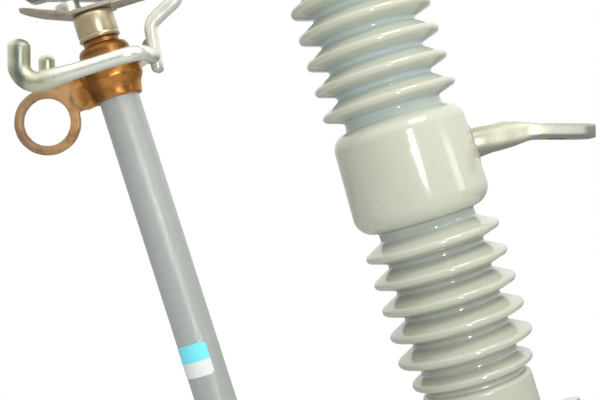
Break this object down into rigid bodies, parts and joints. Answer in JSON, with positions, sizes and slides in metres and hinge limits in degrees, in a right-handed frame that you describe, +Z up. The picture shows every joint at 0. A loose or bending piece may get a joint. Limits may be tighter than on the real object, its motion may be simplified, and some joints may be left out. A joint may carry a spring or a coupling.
{
  "type": "fuse cutout",
  "caption": "Open distribution fuse cutout: porcelain insulator on a mounting strap, with a hinged fuse tube, pull ring and load-break hooks.",
  "frame": {"origin": "centre of the bolt hole on the top face of the mounting strap's pad", "axes": "+X back along the strap, away from the insulator and towards the crossarm; +Z up, square to the pad; +Y across, the cutout's mirror plane being Y = 0"},
  "size_m": [0.4047, 0.0944, 0.4923],
  "materials": {
    "porcelain": "glossy pale grey-green glaze",
    "zinc": "hot-dip galvanised, lightly weathered",
    "bronze": "tarnished cast bronze",
    "plated": "dull tin or silver plating",
    "contact": "tarnished plated copper",
    "cement": "fine grey cement",
    "fibre": "smooth grey epoxy coat on glass fibre",
    "label": "plain two-colour label"
  },
  "bodies": {
    "cutout": {"insulator": "porcelain", "strap_grout": "cement", "mounting_strap": "zinc", "top_cement": "cement", "top_stud": "zinc", "top_nut": "zinc", "top_support": "zinc", "contact_plate": "contact", "contact_stud": "zinc", "backup_spring": "zinc", "spring_rivets": "zinc", "hook_strut": "zinc", "hook_left": "zinc", "hook_right": "zinc", "strut_bolts": "zinc", "top_terminal": "bronze", "top_eyebolt": "zinc", "top_terminal_nut": "zinc", "bottom_cement": "cement", "bottom_stud": "zinc", "bottom_nut": "zinc", "bottom_support": "zinc", "hinge_web": "zinc", "cheek_left": "zinc", "cheek_right": "zinc", "hinge_bolts": "zinc", "bottom_terminal": "bronze", "bottom_eyebolt": "zinc", "bottom_terminal_nut": "zinc"},
    "fuse_holder": {"fuse_tube": "fibre", "upper_ferrule": "bronze", "tube_cap": "plated", "tube_label": "label", "lower_ferrule": "bronze", "ferrule_screws": "zinc", "link_lever": "bronze", "lever_pin": "zinc", "lever_spring": "zinc", "link_nut": "bronze"}
  },
  "joints": [
    {"name": "drop_out", "type": "hinge", "parent": "cutout", "child": "fuse_holder", "pos_m": [-0.18828, 0, -0.239], "axis": [0, -1, 0], "range_deg": [0, 150]}
  ]
}
